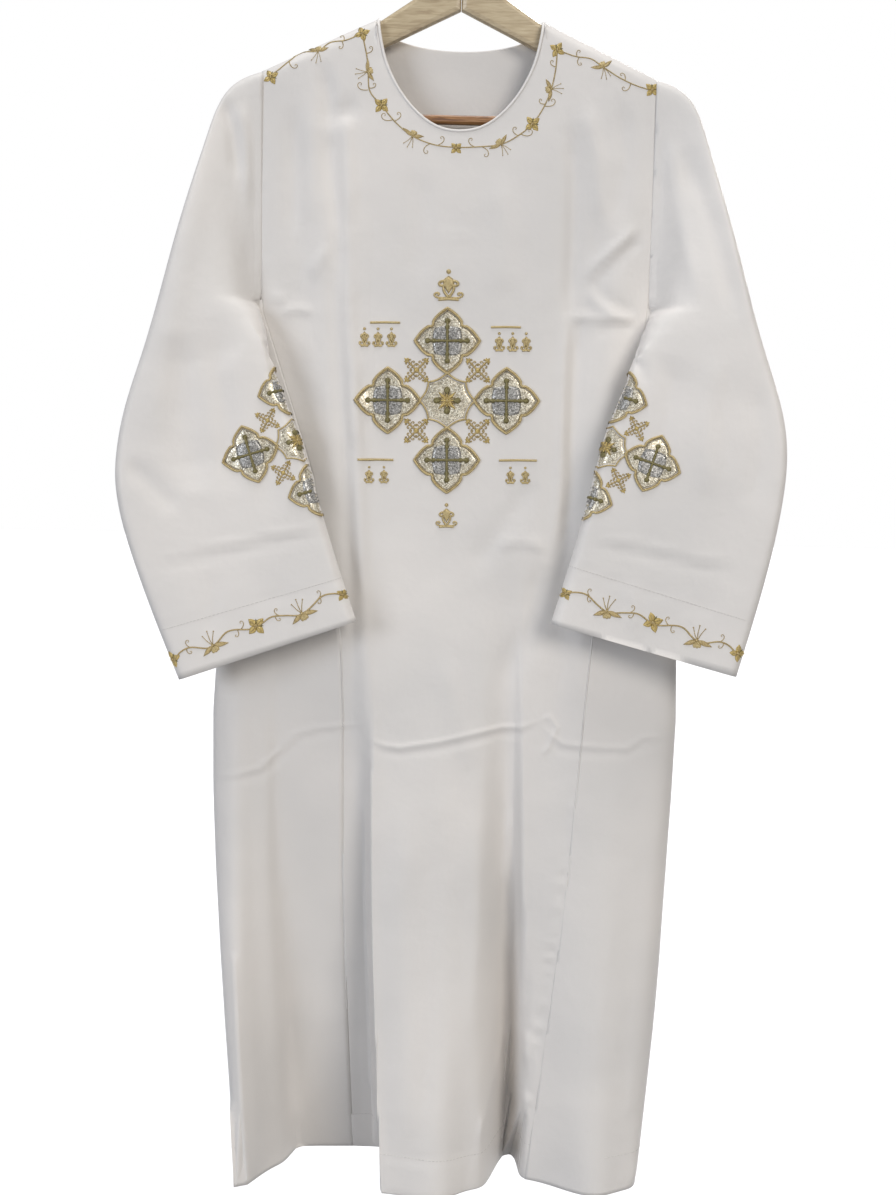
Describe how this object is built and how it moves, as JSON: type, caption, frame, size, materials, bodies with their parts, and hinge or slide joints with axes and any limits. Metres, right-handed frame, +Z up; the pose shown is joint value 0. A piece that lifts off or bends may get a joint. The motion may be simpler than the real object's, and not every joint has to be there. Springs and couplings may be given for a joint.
{
  "type": "embroidered coptic deacon tunic on a wooden hanger",
  "caption": "Long white deacon's tunic with wide sleeves, side gores, embroidered crosses and vines, hanging on a wooden hanger with a bar.",
  "frame": {"origin": "inner top of the hook, where a rail or a peg holds it", "axes": "+Z up along the garment's height, +X to the viewer's right across the shoulders, +Y from the front of the tunic to its back"},
  "size_m": [0.671, 0.1817, 1.328],
  "materials": {
    "cloth": "white polyester and cotton satin weave, soft sheen",
    "binding": "narrow rolled white edge",
    "applique": "thick silver and gold metallic thread embroidery",
    "thread_gold": "gold metallic embroidery thread",
    "wood": "light clear-varnished beech",
    "bar_wood": "varnished round bar, warmer than the arms",
    "hook_steel": "nickel-plated wire"
  },
  "bodies": {
    "root": {"front_panel": "cloth", "back_panel": "cloth", "gore_left": "cloth", "gore_right": "cloth", "sleeve_left": "cloth", "sleeve_right": "cloth", "neck_binding": "binding", "chest_medallion": "applique", "chest_diamond_top": "applique", "chest_diamond_bottom": "applique", "chest_diamond_left": "applique", "chest_diamond_right": "applique", "sleeve_left_medallion": "applique", "sleeve_left_diamond_upper": "applique", "sleeve_left_diamond_lower": "applique", "sleeve_left_diamond_front": "applique", "sleeve_left_diamond_rear": "applique", "sleeve_right_medallion": "applique", "sleeve_right_diamond_upper": "applique", "sleeve_right_diamond_lower": "applique", "sleeve_right_diamond_front": "applique", "sleeve_right_diamond_rear": "applique", "hanger_arm_left": "wood", "hanger_arm_right": "wood", "hanger_bar": "bar_wood", "hanger_hook": "hook_steel"}
  },
  "joints": []
}
